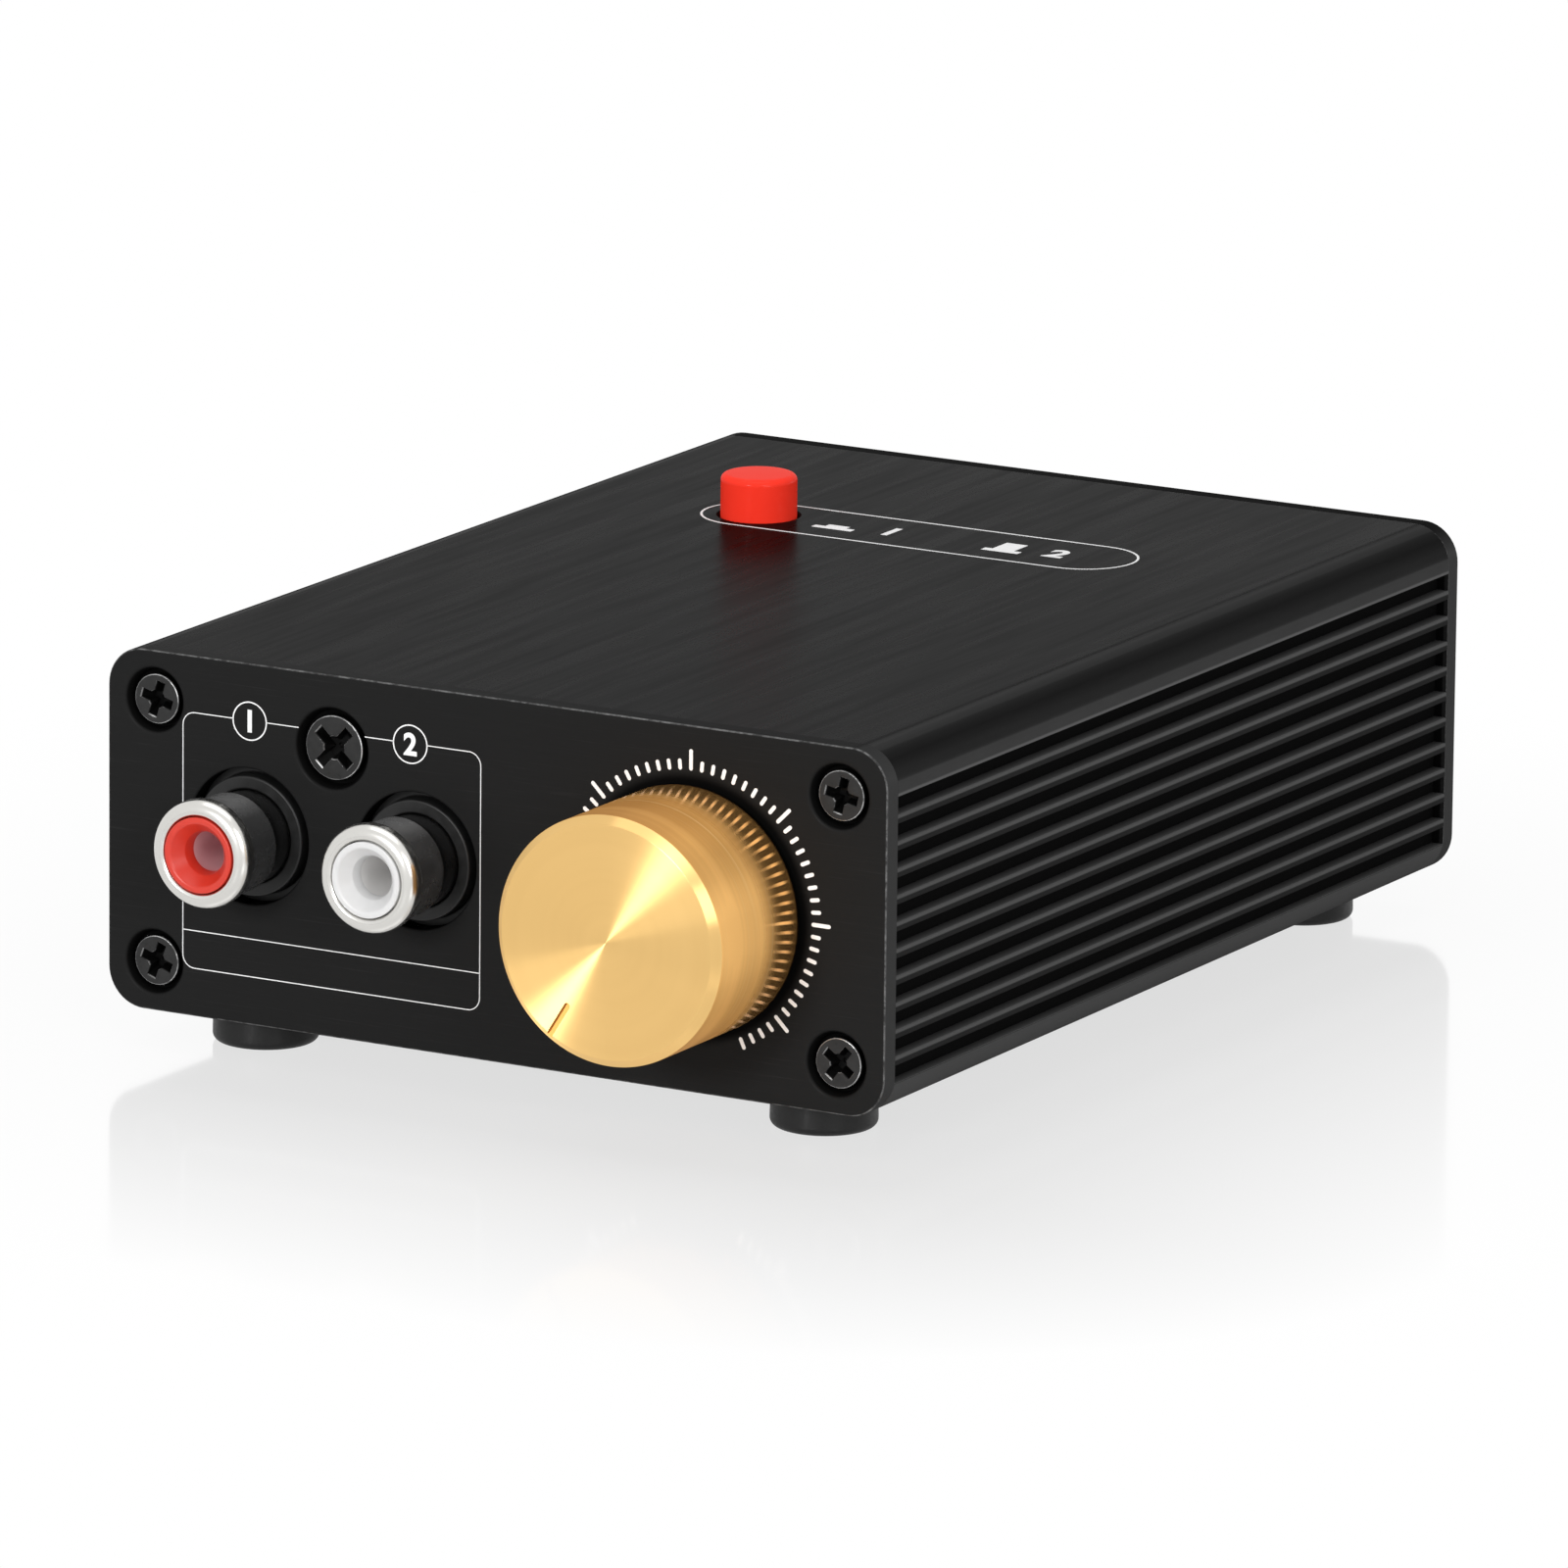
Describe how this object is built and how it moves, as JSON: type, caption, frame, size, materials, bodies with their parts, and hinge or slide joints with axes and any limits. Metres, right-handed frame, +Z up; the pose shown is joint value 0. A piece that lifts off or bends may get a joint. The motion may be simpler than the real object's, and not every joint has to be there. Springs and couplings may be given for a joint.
{
  "type": "line preamplifier",
  "caption": "Small desktop stereo line preamplifier: ribbed extruded case, flat end panels, phono sockets front and rear, gold volume knob and a push button in the top.",
  "frame": {"origin": "on the surface that the feet stand on, under the middle of the whole object's box", "axes": "+Z up, front panel and knob towards -Y, +X to the right as seen from the front"},
  "size_m": [0.066, 0.1086, 0.0338],
  "materials": {
    "case_black": "brushed and black anodised",
    "panel_black": "fine brushed and black anodised",
    "screw_black": "black oxide with a thin film of oil",
    "foot_rubber": "moulded black rubber",
    "knob_gold": "turned and gold anodised, spun face",
    "plain_steel": "plain",
    "brown_phenolic": "pressed phenolic board",
    "nickel_plate": "bright nickel plate",
    "moulded_black": "moulded black",
    "insulator_red": "semi-gloss red moulding",
    "insulator_white": "semi-gloss white moulding",
    "contact_gold": "plated spring brass",
    "board_green": "glass-epoxy board with solder resist",
    "plunger_white": "natural moulding",
    "button_red": "semi-gloss red moulding",
    "sleeve_blue": "shrunk sleeve over an aluminium can",
    "film_red": "dipped",
    "chip_black": "moulded epoxy",
    "resistor_blue": "lacquered"
  },
  "bodies": {
    "chassis": {"case_extrusion": "case_black", "front_panel": "panel_black", "rear_panel": "panel_black", "front_panel_screws": "screw_black", "rear_panel_screws": "screw_black", "foot_front_left": "foot_rubber", "foot_front_right": "foot_rubber", "foot_rear_left": "foot_rubber", "foot_rear_right": "foot_rubber", "pot_bushing": "plain_steel", "pot_can": "plain_steel", "pot_wafer": "brown_phenolic", "pot_terminals": "nickel_plate", "pot_washer": "nickel_plate", "pot_nut": "nickel_plate", "front_phono_housing": "moulded_black", "front_phono_shells": "nickel_plate", "front_insulator_red": "insulator_red", "front_insulator_white": "insulator_white", "front_phono_contacts": "contact_gold", "front_fixing_screw": "screw_black", "rear_phono_housing": "moulded_black", "rear_phono_shells": "nickel_plate", "rear_insulator_red": "insulator_red", "rear_insulator_white": "insulator_white", "rear_phono_contacts": "contact_gold", "rear_fixing_screw": "screw_black", "jack_body": "moulded_black", "jack_bushing": "nickel_plate", "jack_nut": "nickel_plate", "power_inlet": "moulded_black", "power_pin": "nickel_plate", "main_board": "board_green", "selector_switch": "moulded_black", "selector_spring": "plain_steel", "reservoir_capacitors": "sleeve_blue", "film_capacitors": "film_red", "chip_socket": "moulded_black", "amplifier_chip": "chip_black", "voltage_regulator": "chip_black", "resistors": "resistor_blue"},
    "volume_control": {"volume_knob": "knob_gold", "knob_grub_screw": "screw_black", "pot_shaft": "plain_steel", "pot_rotor": "brown_phenolic"},
    "select_button": {"button_cap": "button_red", "selector_plunger": "plunger_white"}
  },
  "joints": [
    {"name": "volume_turn", "type": "hinge", "parent": "chassis", "child": "volume_control", "pos_m": [0.0167, -0.0422, 0.01685], "axis": [0, 1, 0], "range_deg": [-2, 298]},
    {"name": "button_press", "type": "slide", "parent": "chassis", "child": "select_button", "axis": [0, 0, -1], "range_m": [0, 0.0022], "stiffness_N_per_m": 600, "springref_m": -0.0015, "deforming": ["selector_spring"]}
  ]
}
